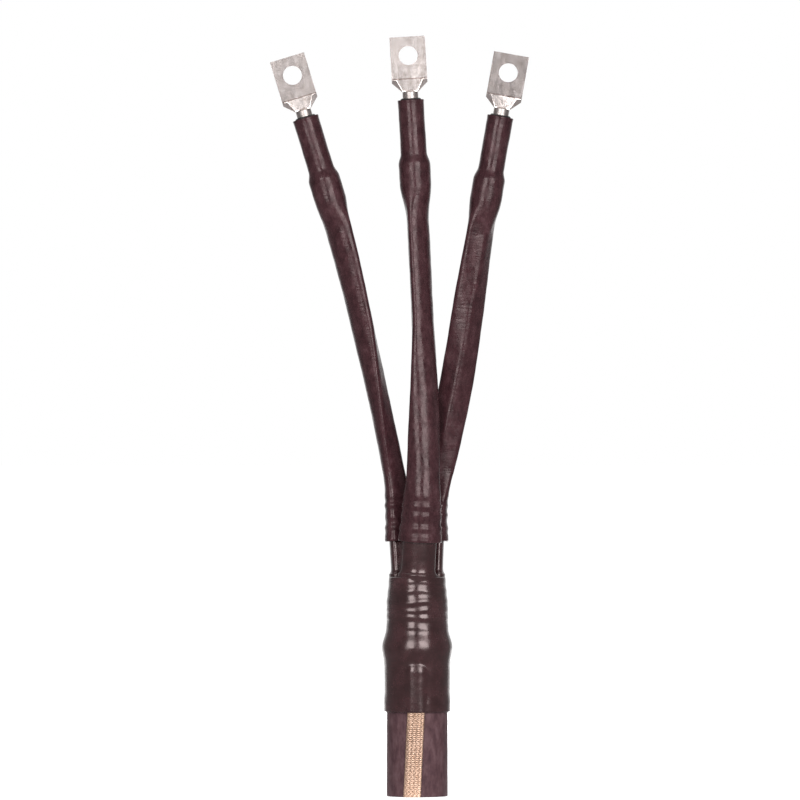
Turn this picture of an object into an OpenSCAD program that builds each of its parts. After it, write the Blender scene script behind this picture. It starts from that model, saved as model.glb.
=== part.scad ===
// Heat-shrink termination for an armoured cable with sector-shaped cores.
// The cable's cut end lies on z = 0, its axis is z, and the lug palms face -y.

/* [Cable] */
// Radius of the circle that the laid-up cores fill
bundle_r = 15.5; // [14.5:0.1:16.5]
// Thickness of the insulation on each core
insulation_wall = 3.2; // [2.6:0.1:3.6]
// Thickness of the belt wound round the cores
belt_wall = 2; // [1:0.1:3]
// Thickness of the inner sheath under the armour
inner_sheath_wall = 3; // [2:0.1:4]
// Diameter of one armour wire
armour_wire_d = 3.15; // [2:0.05:4]
// Thickness of the outer sheath
sheath_wall = 3.45; // [2.5:0.05:4]
// Length of cable below the boot
stub_len = 76; // [40:1:140]

/* [Earth braid] */
// Width of the flat braid
braid_w = 16.5; // [10:0.5:20]
// Thickness of the flat braid
braid_t = 2; // [1.5:0.1:2.4]
// Height of the plait ridges on the braid's face
plait_h = 0.5; // [0.2:0.05:0.7]
// Length of one plait along the braid
plait_pitch = 6; // [5:0.5:9]
// Turn of the braid round the cable between the boot and the cut end, degrees
braid_slant = 7.6; // [0:0.2:20]
// Turn of the braid from the front where it leaves the boot, degrees
braid_turn = 2.3; // [0:0.1:6]
// Thickness of the roll spring's strip
spring_t = 0.5; // [0.3:0.05:0.6]
// Turns in the roll spring
spring_turns = 4; // [2:1:4]
// Width of the roll spring
spring_w = 14; // [10:1:16]

/* [Breakout boot] */
// Wall of the boot where it grips the sheath
boot_wall = 1.9; // [1.5:0.1:2.6]
// Wall of the boot over the roll spring
bulge_wall = 2.6; // [2:0.1:3.4]
// Wall of the ridge that the boot forms over the braid
ridge_wall = 1.5; // [1.2:0.1:2]
// Extra thickness of the rolled lip on the skirt
skirt_lip = 0.7; // [0.3:0.1:1.2]
// Length of the skirt on the sheath
skirt_grip = 36; // [28:1:50]
// Radius of the body above the roll spring
body_r = 27.8; // [27:0.1:29]
// Radius of the shoulder below the fingers
shoulder_r = 25.6; // [24:0.1:27]
// Height of the shoulder above the end of the sheath
shoulder_h = 84; // [80:1:92]
// Height of the dome between the fingers
dome_h = 5; // [3:0.5:8]
// Height of the ripples left in the body by shrinking
ripple_h = 0.45; // [0:0.05:0.7]
// Wall of a finger
finger_wall = 2.2; // [1.6:0.1:2.6]
// Length of a finger along its core
finger_len = 70; // [60:1:78]
// Distance of each finger's foot from the cable's axis
finger_off = 14; // [13.5:0.1:15]

/* [Core tubes] */
// Wall of a core tube
tube_wall = 2.1; // [1.6:0.1:2.6]
// Extra thickness of a tube's lower end
tube_lip = 1.6; // [0.8:0.1:2]
// Length of finger left bare below the tubes
finger_bare = 39.5; // [34:0.5:44]
// Depth of the shrink rings at a tube's lower end
ring_h = 0.4; // [0:0.05:0.6]
// Length of the left tail from the fork to the tube's mouth
tail_len = 431; // [380:1:520]
// How much longer the centre tail is
centre_more = 7; // [0:1:30]
// How much shorter the right tail is
right_less = 4; // [0:1:30]
// Sideways lean of the left tail at finger, elbow, middle and top, degrees
left_lean = [-3.6, -12.2, -12.2, -17]; // [-25:0.1:25]
// Sideways lean of the centre tail at finger, elbow, middle and top, degrees
centre_lean = [3.2, 1.8, -2.4, -3.3]; // [-25:0.1:25]
// Sideways lean of the right tail at finger, elbow, middle and top, degrees
right_lean = [2.2, 13.1, 8.2, 10.1]; // [-25:0.1:25]
// Backward lean of the left tail at finger, elbow, middle and top, degrees
left_back = [2.25, -2.85, -2.85, 0]; // [-10:0.05:10]
// Backward lean of the centre tail at finger, elbow, middle and top, degrees
centre_back = [-4.5, 5.58, 5.58, 0]; // [-10:0.02:10]
// Backward lean of the right tail at finger, elbow, middle and top, degrees
right_back = [2.25, -2.82, -2.82, 0]; // [-10:0.02:10]
// Twist of the left core at finger, elbow, middle and top, degrees
left_twist = [0, 4, 62, 85]; // [-130:1:130]
// Twist of the centre core at finger, elbow, middle and top, degrees
centre_twist = [0, 4, 62, 62]; // [-130:1:130]
// Twist of the right core at finger, elbow, middle and top, degrees
right_twist = [0, 35, 75, 115]; // [-130:1:130]

/* [Lugs] */
// Width of a palm
palm_w = 32; // [28:0.5:36]
// Length of the flat part of a palm
palm_l = 38; // [34:0.5:44]
// Thickness of a palm
palm_t = 5; // [4:0.5:7]
// Diameter of the bolt hole
hole_d = 17; // [13:0.5:18]
// Distance of the bolt hole from the palm's tip
hole_tip = 17; // [16:0.5:20]
// Diameter of the solid neck
neck_d = 14; // [12:0.5:16]
// Length of neck above the tube's mouth
neck_l = 7; // [4:0.5:10]
// Length of the shoulder between the neck and the palm
lug_shoulder = 12; // [10:0.5:14]
// Length of shoulder that keeps the palm's full width below the crease
shoulder_drop = 3.5; // [2:0.5:5]
// Width of the crease pressed across the foot of the palm
crease_w = 0.8; // [0.4:0.1:1.2]
// Width of the bevel down each side of the shoulder
shoulder_bevel = 4; // [2:0.5:6]
// Depth of the shoulder where it meets the neck
throat_t = 7.2; // [6:0.2:9]
// Outside diameter of the barrel
barrel_d = 19; // [18:0.1:20]
// Diameter of the barrel's bore
barrel_bore = 13.5; // [12.6:0.1:14.5]
// Length of the barrel
barrel_l = 55; // [44:1:57]
// Depth of the barrel's top below the tube's mouth
barrel_sink = 3; // [2:0.5:6]
// Radius of the mastic ring below the barrel
mastic_r = 12; // [11.5:0.1:12.6]
// Gap from the barrel to the cut insulation
strip_gap = 7; // [6:0.5:10]

/* [Fit] */
// Clearance between parts that seat on each other
fit = 0.1; // [0.05:0.01:0.15]
// Clearance round a core
core_fit = 0.2; // [0.15:0.05:0.3]

/* [Hidden] */
$fn = 64;

left = 0;
centre = 1;
right = 2;
sides = 18;
path_step = 5;
path_count = ceil((tail_len + centre_more) / path_step) + 2;

// Layers of the cable from the middle outwards
core_off = 0.55 * bundle_r;
flat_d = core_off * sin(60) - fit / 2;
belt_in = bundle_r + fit;
belt_r = belt_in + belt_wall;
inner_in = belt_r + fit;
inner_r = inner_in + inner_sheath_wall;
armour_pitch_r = inner_r + fit + armour_wire_d / 2;
armour_r = armour_pitch_r + armour_wire_d / 2;
armour_count = floor(180 / asin((armour_wire_d + fit) / 2 / armour_pitch_r));
sheath_in = armour_r + fit;
sheath_r = sheath_in + sheath_wall;

// Heights at which the layers stop
sheath_end = stub_len + skirt_grip;
wrap_end = sheath_end + 29;
armour_end = wrap_end + 2;
inner_end = armour_end + 4;
belt_end = inner_end + 3;
fork_z = belt_end + 40;
bulge_z = wrap_end - spring_w / 2 - 1;

// Radii of what is wound on the armour, and of the boot round it
wrap_in = armour_r + fit;
wrap_r = wrap_in + braid_t;
spring_in = wrap_r / cos(180 / 32) + fit;
spring_lap = spring_t + 0.05;
spring_r = spring_in + spring_turns * spring_lap + spring_t;
boot_in = sheath_r + fit;
waist_r = boot_in + boot_wall;
bulge_in = spring_r + fit;
bulge_r = bulge_in + bulge_wall;
filler_in = inner_r + fit;
filler_r = body_r - 2.4;
filler_end = fork_z - 14;
shoulder_z = sheath_end + shoulder_h;
braid_in = sheath_r + fit / 2;
braid_half = asin((braid_w / 2) / (sheath_r + braid_t / 2));
channel_r = braid_in + braid_t + plait_h / 2 + fit;
ridge_top = bulge_z - 3;

// Lug heights measured from the tube's mouth
palm_z = neck_l + lug_shoulder;
hole_z = palm_z + palm_l - hole_tip;
barrel_foot = barrel_sink + barrel_l;
strip_depth = barrel_foot + strip_gap;
round_depth = strip_depth + 38;
crimp_r = barrel_bore / 2 - fit;
finger_grow = core_fit + finger_wall;
tip_q = fork_z + finger_len;
tube_q = fork_z + finger_bare;

// The three tails, each listed in the order left, centre, right
fork_dir = [150, -90, 30];
mouth_at = [tail_len, tail_len + centre_more, tail_len - right_less];
lean = [left_lean, centre_lean, right_lean];
back = [left_back, centre_back, right_back];
twist = [left_twist, centre_twist, right_twist];

function mix(a, b, t) = a + (b - a) * t;
function ease(t) = let (c = min(1, max(0, t))) c * c * (3 - 2 * c);
function hump(t) = exp(-t * t);
function unit(v) = v / norm(v);

// Path of a tail: q is the distance along it from the cable's cut end
bend_at = [for (share = [0, 0.097, 0.457, 0.831]) mix(finger_len, tail_len, share)];
function along(list, s) = lookup(s, [for (i = [0:3]) [bend_at[i], list[i]]]);
function heading(leg, s) = unit([tan(along(lean[leg], s)), tan(along(back[leg], s)), 1]);
function fork_point(leg, off, z) = [off * cos(fork_dir[leg]), off * sin(fork_dir[leg]), z];
path = [for (leg = [left:right])
    [for (i = 0, p = fork_point(leg, finger_off, fork_z); i <= path_count;
        p = p + path_step * heading(leg, (i + 0.5) * path_step), i = i + 1) p]];
function spread(q) = mix(core_off, finger_off, ease((q - belt_end) / (fork_z - 2 - belt_end)));
function place(leg, q) = let (s = q - fork_z, i = floor(s / path_step))
    s < 0 ? fork_point(leg, spread(q), q)
    : mix(path[leg][i], path[leg][i + 1], s / path_step - i);
function front(leg, q) = q < fork_z ? [0, 0, 1] : heading(leg, q - fork_z);
function across(leg, q) = let (f = front(leg, q)) unit([f.z, 0, -f.x]);
function turn(leg, q) = fork_dir[leg] + along(twist[leg], q - fork_z);
function mouth(leg) = fork_z + mouth_at[leg];

// Section of a core: two flats and an arc with rounded corners, grown by t
function arc_reach(t, a) = sqrt(pow(bundle_r + t, 2) - pow(core_off * sin(a), 2)) - core_off * cos(a);
function flat_pull(t, a) = max(0, cos(a)) / (flat_d + t);
function core_reach(t, a) = pow(pow(1 / arc_reach(t, a), 6) + pow(flat_pull(t, a - 150), 6)
    + pow(flat_pull(t, a + 150), 6), -1 / 6);

// One ring of points round a tail
function ring(leg, q, reach) = let (o = place(leg, q), e = across(leg, q), n = cross(front(leg, q), e))
    [for (i = [0:sides - 1]) let (a = i * 360 / sides, b = a + turn(leg, q))
        o + reach[i] * (cos(b) * e + sin(b) * n)];

// Reach of each layer of a tail round one ring
angles = [for (i = [0:sides - 1]) i * 360 / sides];
flat_to_flat = 1 / cos(180 / sides);
function conductor_reach(leg, q) = let (w = ease((strip_depth - mouth(leg) + q) / (strip_gap - 1)))
    [for (a = angles) mix(core_reach(-insulation_wall - fit, a), crimp_r, w)];
function sleeve_reach(leg, q, t) = [for (a = angles) core_reach(t, a)];
function inner_grow(q) = core_fit + (finger_wall + fit) * (1 - ease((q - tip_q) / 12));
function inner_round(d) = flat_to_flat * (fit + mix(barrel_d / 2, mastic_r, ease((d - barrel_foot + 5) / 8)));
function tube_in_reach(leg, q) = let (d = mouth(leg) - q, w = ease((round_depth - d) / 38))
    [for (a = angles) mix(core_reach(inner_grow(q), a), inner_round(d), w)];
function outer_round(d) = fit + tube_wall
    + mix(barrel_d / 2, mastic_r, ease((d - barrel_foot + 10) / 10)) + 0.3 * hump(d / 2);
function outer_grow(q) = core_fit + tube_wall + (finger_wall + fit) * (1 - ease((q - tip_q + 5) / 40))
    + tube_lip * (1 - ease((q - tube_q) / 25))
    + ring_h * sin((q - tube_q) * 36) * ease((q - tube_q) / 10) * (1 - ease((q - tube_q - 30) / 12));
function tube_out_reach(leg, q) = let (d = mouth(leg) - q, w = ease((round_depth + 6 - d) / 34))
    [for (a = angles) mix(core_reach(outer_grow(q), a), outer_round(d), w)];

// Distances along a tail at which the rings stand
function run_q(leg) = concat([tip_q + 12, tip_q + 24],
    [for (i = [0:5]) mix(tip_q + 35, mouth(leg) - round_depth - 23, i / 5)]);
cable_q = [0, belt_end, belt_end + 10, belt_end + 19, belt_end + 28, fork_z - 2];
function end_q(leg) = [for (d = [round_depth, round_depth - 19, strip_depth]) mouth(leg) - d];
function core_q(leg) = concat(cable_q, [tip_q + 1], run_q(leg), end_q(leg));
function metal_q(leg) = concat(core_q(leg), [for (d = [strip_depth - 3, barrel_foot + 1, barrel_sink + 6])
    mouth(leg) - d]);
function tube_in_q(leg) = concat([tube_q, tip_q], [tip_q + 6], run_q(leg), end_q(leg),
    [for (d = [barrel_foot + 3, barrel_foot, barrel_foot - 2, barrel_foot - 5, 0]) mouth(leg) - d]);
function tube_out_q(leg) = concat([for (s = [0:2.5:42.5]) tube_q + s],
    [for (i = [0:10]) mix(tip_q + 24, mouth(leg) - round_depth - 18, i / 10)],
    [for (d = [round_depth + 6, round_depth - 4, round_depth - 14, strip_depth + 10, strip_depth,
        barrel_foot, barrel_foot - 4, barrel_foot - 8, barrel_foot - 12, 4, 1.5, 0]) mouth(leg) - d]);

// Skin between rings, and the caps that close a rod or a tube
function skin(rings, first, flip) = [for (k = [0:rings - 2], i = [0:sides - 1])
    let (a = first + k * sides + i, b = first + k * sides + (i + 1) % sides)
    each flip ? [[a, b, a + sides], [b, b + sides, a + sides]]
    : [[a, a + sides, b], [b, a + sides, b + sides]]];
function rim(outer, inner, flip) = [for (i = [0:sides - 1])
    let (j = (i + 1) % sides)
    each flip ? [[outer + i, outer + j, inner + i], [outer + j, inner + j, inner + i]]
    : [[outer + i, inner + i, outer + j], [outer + j, inner + i, inner + j]]];

module rod(rings) {
    count = len(rings);
    last = (count - 1) * sides;
    polyhedron([for (r = rings) each r], concat(skin(count, 0, false),
        [[for (i = [0:sides - 1]) i]], [[for (i = [sides - 1:-1:0]) last + i]]), convexity = 6);
}

module pipe(outer, inner) {
    base = len(outer) * sides;
    polyhedron(concat([for (r = outer) each r], [for (r = inner) each r]),
        concat(skin(len(outer), 0, false), skin(len(inner), base, true), rim(0, base, true),
        rim(base - sides, base + (len(inner) - 1) * sides, false)), convexity = 8);
}

module sleeve(r_in, r_out, z0, z1) {
    rotate_extrude()
        translate([r_in, z0])
            square([r_out - r_in, z1 - z0]);
}

// Stands a shape drawn upright about the origin on a tail's path
module on_tail(leg, q) {
    e = across(leg, q);
    f = front(leg, q);
    n = cross(f, e);
    o = place(leg, q);
    multmatrix([[e.x, n.x, f.x, o.x], [e.y, n.y, f.y, o.y], [e.z, n.z, f.z, o.z], [0, 0, 0, 1]])
        children();
}

module outer_sheath() {
    color([0.33, 0.26, 0.28])
        sleeve(sheath_in, sheath_r, 0, sheath_end);
}

module armour_wires() {
    color([0.62, 0.63, 0.65])
        for (i = [0:armour_count - 1])
            rotate([0, 0, i * 360 / armour_count])
                translate([armour_pitch_r, 0, 0])
                    cylinder(d = armour_wire_d, h = armour_end, $fn = 24);
}

module inner_sheath() {
    color([0.16, 0.16, 0.17])
        sleeve(inner_in, inner_r, 0, inner_end);
}

module core_belt() {
    color([0.72, 0.66, 0.52])
        sleeve(belt_in, belt_r, 0, belt_end);
}

module conductor(leg) {
    color([0.75, 0.44, 0.28])
        rod([for (q = metal_q(leg)) ring(leg, q, conductor_reach(leg, q))]);
}

module insulation(leg) {
    color([0.86, 0.83, 0.74])
        pipe([for (q = core_q(leg)) ring(leg, q, sleeve_reach(leg, q, 0))],
            [for (q = core_q(leg)) ring(leg, q, sleeve_reach(leg, q, -insulation_wall))]);
}

// The braid lies on the sheath, steps down to the armour and ends in a turn wound round it
function braid_floor(z) = mix(braid_in, wrap_in, ease((z - sheath_end - 0.5) / 12));
function braid_angle(z) = -90 - braid_turn - braid_slant * max(0, 1 - z / stub_len);
function plait(u, z) = plait_h * (0.5 + 0.5 * cos(360 * (z / plait_pitch + abs(u)))) * (1 - u * u * 0.6);
wrap_foot = wrap_end - spring_w - 2;
braid_z = concat([for (z = [0:1.5:stub_len]) z], [for (f = [0.35, 0.7]) mix(stub_len, sheath_end, f)],
    [for (s = [0.5, 3.5, 6.5, 9.5, 12.5]) sheath_end + s], [wrap_foot + 1.5]);
braid_u = [-1, -0.66, -0.33, 0, 0.33, 0.66, 1];
function tuck(z) = 0.4 * ease((z - wrap_foot + 4) / 4);
function braid_point(z, u, r) = let (a = braid_angle(z) + u * braid_half) [r * cos(a), r * sin(a), z];
function braid_back(z, u) = braid_point(z, u, braid_floor(z) + tuck(z));
function braid_face(z, u) = let (show = z < stub_len ? plait(u, z) : plait_h / 2)
    braid_point(z, u, braid_floor(z) + braid_t - plait_h / 2 - tuck(z) + show - 0.5 * u * u * u * u);

module earth_braid() {
    cols = len(braid_u);
    rows = len(braid_z);
    loop = 2 * cols;
    points = [for (z = braid_z) each concat([for (u = braid_u) braid_face(z, u)],
        [for (i = [cols - 1:-1:0]) braid_back(z, braid_u[i])])];
    walls = [for (k = [0:rows - 2], i = [0:loop - 1])
        let (a = k * loop + i, b = k * loop + (i + 1) % loop)
        each [[a, a + loop, b], [b, a + loop, b + loop]]];
    ends = [for (i = [0:cols - 2]) let (j = loop - 1 - i, top = (rows - 1) * loop)
        each [[i, i + 1, j - 1], [i, j - 1, j], [top + i + 1, top + i, top + j - 1],
            [top + i, top + j, top + j - 1]]];
    color([0.84, 0.68, 0.56])
        union() {
            polyhedron(points, concat(walls, ends), convexity = 6);
            sleeve(wrap_in, wrap_r, wrap_foot, wrap_end);
        }
}

module roll_spring() {
    count = 32 * spring_turns;
    function coil(i) = spring_in + spring_lap * i / 32;
    color([0.78, 0.78, 0.8])
        translate([0, 0, wrap_end - spring_w - 1])
            linear_extrude(spring_w)
                polygon(concat(
                    [for (i = [0:count]) (coil(i) + spring_t) * [cos(i * 11.25), sin(i * 11.25)]],
                    [for (i = [count:-1:0]) coil(i) * [cos(i * 11.25), sin(i * 11.25)]]));
}

module boot_filler() {
    color([0.1, 0.1, 0.1])
        sleeve(filler_in, filler_r, armour_end + 1, filler_end);
}

// A plug of mastic that fills the widening gap where the cores part
module crotch_filler() {
    apex = core_reach(0, 180);
    z0 = belt_end + 9;
    z1 = fork_z - 3;
    color([0.12, 0.11, 0.11])
        rotate_extrude()
            polygon(concat([[0, z0]], [for (i = [0:8]) let (z = mix(z0, z1, i / 8))
                [spread(z) - apex - core_fit, z]], [[0, z1]]));
}

// Outline of the boot's body, with the ripples that shrinking leaves in it
function ripple(z) = ripple_h * sin((z - bulge_z) * 40) * ease((z - bulge_z - 8) / 8)
    * (1 - ease((z - shoulder_z + 6) / 6));
function boot_base(z) = mix(mix(waist_r, body_r, ease((z - bulge_z - 4) / 16)), shoulder_r + 0.2,
    ease((z - shoulder_z + 26) / 26));
function boot_r(z) = boot_base(z) + skirt_lip * (1 - ease((z - stub_len - 7) / 10))
    + (bulge_r - boot_base(bulge_z)) * hump((z - bulge_z) / 10) + ripple(z);

module boot_body() {
    rise = 2.25;
    count = floor((shoulder_z - stub_len) / rise);
    rotate_extrude()
        polygon(concat([[0, stub_len]], [for (i = [0:count]) [boot_r(stub_len + i * rise),
            stub_len + i * rise]], [for (a = [0:12:84]) [shoulder_r * cos(a), shoulder_z + dome_h * sin(a)]],
            [[0, shoulder_z + dome_h * sin(84)]]));
}

// Upright wedge with a crowned face, turned to stand over the braid
module braid_cover(reach, crown, spread, z0, z1) {
    function edge(x) = (reach - crown * pow(x, 4)) * [sin(x * braid_half), -cos(x * braid_half)];
    rotate([0, 0, -braid_turn])
        translate([0, 0, z0])
            linear_extrude(z1 - z0)
                polygon(concat([[0, -sheath_r / 2]], [for (i = [-4:4]) edge(i * spread / 4)]));
}

module boot_hollow() {
    rotate_extrude()
        polygon([[0, stub_len - 1], [boot_in, stub_len - 1], [boot_in, sheath_end + 1],
            [bulge_in, sheath_end + 9], [bulge_in, wrap_end], [filler_r + fit, armour_end + 3],
            [filler_r + fit, filler_end + 1], [finger_off + 8, fork_z - 1], [0, fork_z - 1]]);
    braid_cover(channel_r, 0.3, 1.15, stub_len - 1, sheath_end + 8);
}

module finger(leg, grow, z0, z1) {
    on_tail(leg, fork_z)
        translate([0, 0, z0])
            rotate([0, 0, fork_dir[leg]])
                linear_extrude(z1 - z0)
                    polygon([for (a = angles) core_reach(grow, a) * [cos(a), sin(a)]]);
}

module breakout_boot() {
    color([0.26, 0.17, 0.18])
        difference() {
            union() {
                boot_body();
                braid_cover(channel_r + ridge_wall, 0.45, 1.5, stub_len + 0.6, ridge_top);
                for (leg = [left:right])
                    finger(leg, finger_grow, -2, finger_len);
            }
            boot_hollow();
            for (leg = [left:right])
                finger(leg, core_fit, -4, finger_len + 1);
        }
}

module core_tube(leg) {
    color([0.27, 0.18, 0.19])
        pipe([for (q = tube_out_q(leg)) ring(leg, q, tube_out_reach(leg, q))],
            [for (q = tube_in_q(leg)) ring(leg, q, tube_in_reach(leg, q))]);
}

// Mastic that covers the barrel's foot and the bared conductor
module mastic(leg) {
    color([0.12, 0.11, 0.11])
        on_tail(leg, mouth(leg) - strip_depth + 0.5)
            rotate_extrude()
                polygon([[barrel_bore / 2 + 0.6, 0], [mastic_r, 0], [mastic_r, strip_gap - 3.5],
                    [barrel_d / 2 + fit + 0.2, strip_gap + 2.5], [barrel_d / 2 + fit, strip_gap + 2.5],
                    [barrel_d / 2 + fit, strip_gap - 0.6], [barrel_bore / 2 + 0.6, strip_gap - 0.6]]);
}

// One slice of a lug's shoulder, flat in front and behind, bevelled to its sides
module shoulder_slice(wide, face, deep, edge, high) {
    linear_extrude(high)
        polygon([[face, deep], [wide, edge], [wide, -edge], [face, -deep],
            [-face, -deep], [-wide, -edge], [-wide, edge], [-face, deep]]);
}

// Shoulder of a lug, pressed out from the neck to the palm's width
module lug_throat() {
    wide = palm_w / 2;
    slim = neck_d / 2 + 0.5;
    hull() {
        translate([0, 0, palm_z - 0.6])
            shoulder_slice(wide, wide - shoulder_bevel, palm_t / 2, 0.3, 0.6);
        translate([-wide, -0.3, palm_z - shoulder_drop])
            cube([palm_w, 0.6, shoulder_drop]);
        translate([0, 0, neck_l + 0.4])
            shoulder_slice(slim, slim - 1, throat_t / 2, throat_t / 2 - 1.6, 1);
    }
    translate([0, 0, neck_l - 0.3])
        cylinder(d1 = neck_d - 0.6, d2 = throat_t - 1, h = 2.8);
}

// Lug in one piece: bored barrel, neck, throat and palm
module lug(leg) {
    foot = -barrel_sink - barrel_l;
    color([0.8, 0.76, 0.75])
        on_tail(leg, mouth(leg))
            difference() {
                union() {
                    translate([-palm_w / 2, -palm_t / 2, palm_z - 1])
                        cube([palm_w, palm_t, palm_l + 1]);
                    lug_throat();
                    translate([0, 0, -barrel_sink - 1])
                        cylinder(d = neck_d, h = neck_l + barrel_sink + 1);
                    translate([0, 0, foot])
                        cylinder(d = barrel_d, h = barrel_l - 1.5);
                    translate([0, 0, -barrel_sink - 1.5])
                        cylinder(d1 = barrel_d, d2 = barrel_d - 3, h = 1.5);
                }
                translate([0, palm_t, hole_z])
                    rotate([90, 0, 0])
                        cylinder(d = hole_d, h = 2 * palm_t);
                translate([0, -palm_t / 2, palm_z])
                    rotate([45, 0, 0])
                        cube([2 * palm_w, crease_w, crease_w], center = true);
                translate([0, 0, foot - 1])
                    cylinder(d = barrel_bore, h = barrel_l - 4);
            }
}

// Mastic squeezed up round the neck in the tube's mouth
module mouth_seal(leg) {
    wide = barrel_d / 2 - 0.1;
    thin = neck_d / 2 + fit;
    color([0.1, 0.09, 0.09])
        on_tail(leg, mouth(leg))
            rotate_extrude()
                polygon([[thin, fit - barrel_sink], [wide, fit - barrel_sink], [wide, 0],
                    [wide - 0.8, 0.9], [thin + 0.6, 1.6], [thin, 1.4]]);
}

outer_sheath();
armour_wires();
inner_sheath();
core_belt();
conductor(left);  // left_conductor
conductor(centre);  // centre_conductor
conductor(right);  // right_conductor
insulation(left);  // left_insulation
insulation(centre);  // centre_insulation
insulation(right);  // right_insulation
earth_braid();
roll_spring();
boot_filler();
crotch_filler();
breakout_boot();
core_tube(left);  // left_core_tube
core_tube(centre);  // centre_core_tube
core_tube(right);  // right_core_tube
mastic(left);  // left_mastic
mastic(centre);  // centre_mastic
mastic(right);  // right_mastic
lug(left);  // left_lug
lug(centre);  // centre_lug
lug(right);  // right_lug
mouth_seal(left);  // left_mouth_seal
mouth_seal(centre);  // centre_mouth_seal
mouth_seal(right);  // right_mouth_seal
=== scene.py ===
import math

import bmesh
import bpy
import numpy as np
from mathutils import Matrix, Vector


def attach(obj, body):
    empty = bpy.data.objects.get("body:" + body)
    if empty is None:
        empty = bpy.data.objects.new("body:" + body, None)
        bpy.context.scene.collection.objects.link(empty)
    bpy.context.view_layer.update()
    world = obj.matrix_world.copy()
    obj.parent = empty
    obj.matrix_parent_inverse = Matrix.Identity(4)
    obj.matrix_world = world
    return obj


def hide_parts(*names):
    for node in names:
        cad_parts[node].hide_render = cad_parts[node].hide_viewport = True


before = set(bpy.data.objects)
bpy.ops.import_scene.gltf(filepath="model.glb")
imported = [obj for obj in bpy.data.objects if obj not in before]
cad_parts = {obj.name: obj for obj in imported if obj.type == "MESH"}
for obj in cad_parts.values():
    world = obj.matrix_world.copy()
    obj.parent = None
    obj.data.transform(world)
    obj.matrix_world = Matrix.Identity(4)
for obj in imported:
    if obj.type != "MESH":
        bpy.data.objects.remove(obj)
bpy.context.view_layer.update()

# ---------------------------------------------------------------------------
# Three sector conductors of stranded copper.
# Round wires laid together and rolled to a third of a circle, sawn off square
# at the cable's cut end and crimped into a lug at the other.
# ---------------------------------------------------------------------------
BUNDLE_R = 15.5
CORE_OFF = 0.55 * BUNDLE_R
FLAT_D = CORE_OFF * math.sin(math.radians(60)) - 0.05
INSULATION_WALL = 3.2
FORK_Z = 190.0
BELT_END = 150.0
FINGER_OFF = 14.0
PATH_STEP, PATH_LEN = 0.5, 500.0
BEND_AT = (70.0, 105.017, 234.977, 369.991)
TAILS = {
    "left": dict(fork=150.0, length=431.0, lean=(-3.6, -12.2, -12.2, -17.0),
                 back=(2.25, -2.85, -2.85, 0.0), twist=(0.0, 4.0, 62.0, 85.0)),
    "centre": dict(fork=-90.0, length=438.0, lean=(3.2, 1.8, -2.4, -3.3),
                   back=(-4.5, 5.58, 5.58, 0.0), twist=(0.0, 4.0, 62.0, 62.0)),
    "right": dict(fork=30.0, length=427.0, lean=(2.2, 13.1, 8.2, 10.1),
                  back=(2.25, -2.82, -2.82, 0.0), twist=(0.0, 35.0, 75.0, 115.0)),
}
STRIP_DEPTH = 65.0
CRIMP_R = 6.65


def ease(t):
    t = np.clip(t, 0.0, 1.0)
    return t * t * (3 - 2 * t)


def mix(a, b, t):
    return a + (b - a) * t


def heading(tail, s):
    lean = np.tan(np.radians(np.interp(s, BEND_AT, tail["lean"])))
    back = np.tan(np.radians(np.interp(s, BEND_AT, tail["back"])))
    f = np.stack([lean, back, np.ones_like(lean)], axis=-1)
    return f / np.linalg.norm(f, axis=-1, keepdims=True)


for tail in TAILS.values():
    fork = math.radians(tail["fork"])
    start = np.array([FINGER_OFF * math.cos(fork), FINGER_OFF * math.sin(fork), FORK_Z])
    walk = heading(tail, np.arange(PATH_STEP / 2, PATH_LEN, PATH_STEP)) * PATH_STEP
    tail["path"] = np.vstack([start, start + np.cumsum(walk, axis=0)])
    tail["mouth"] = FORK_Z + tail["length"]


def stand(tail, q):
    """Place, forward axis and two cross axes of a tail at the distances q along it."""
    q = np.atleast_1d(np.asarray(q, float))
    s = np.maximum(q - FORK_Z, 0.0)
    steps = np.arange(len(tail["path"])) * PATH_STEP
    place = np.stack([np.interp(s, steps, tail["path"][:, i]) for i in range(3)], axis=-1)
    low = q < FORK_Z
    off = mix(CORE_OFF, FINGER_OFF, ease((q - BELT_END) / (FORK_Z - 2 - BELT_END)))
    fork = math.radians(tail["fork"])
    place[low] = np.stack([off * math.cos(fork), off * math.sin(fork), q], axis=-1)[low]
    f = np.where(low[:, None], np.array([0.0, 0.0, 1.0]), heading(tail, s))
    e = np.stack([f[:, 2], np.zeros(len(q)), -f[:, 0]], axis=-1)
    e /= np.linalg.norm(e, axis=-1, keepdims=True)
    return place, f, e, np.cross(f, e)


def core_reach(grow, a):
    """Reach of a core's section at the angles a, in degrees: an arc and two flats."""
    a = np.radians(a)
    arc = np.sqrt((BUNDLE_R + grow) ** 2 - (CORE_OFF * np.sin(a)) ** 2) - CORE_OFF * np.cos(a)
    one = np.maximum(0, np.cos(a - math.radians(150))) / (FLAT_D + grow)
    two = np.maximum(0, np.cos(a + math.radians(150))) / (FLAT_D + grow)
    return (arc ** -6 + one ** 6 + two ** 6) ** (-1 / 6)


def tail_rings(tail, q, reach, a):
    """Rings of points round a tail: reach is one row of distances for each q."""
    place, f, e, n = stand(tail, q)
    b = np.radians(a[None, :] + tail["fork"]
                   + np.interp(np.asarray(q) - FORK_Z, BEND_AT, tail["twist"])[:, None])
    out = np.cos(b)[..., None] * e[:, None, :] + np.sin(b)[..., None] * n[:, None, :]
    return place[:, None, :] + reach[..., None] * out


def mesh_piece(name, verts, faces):
    """A mesh object from points in millimetres."""
    mesh = bpy.data.meshes.new(name)
    mesh.from_pydata((np.asarray(verts, float) / 1000.0).tolist(), [], faces)
    mesh.validate()
    mesh.update()
    mesh.shade_smooth()
    piece = bpy.data.objects.new(name, mesh)
    bpy.context.scene.collection.objects.link(piece)
    return piece


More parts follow.
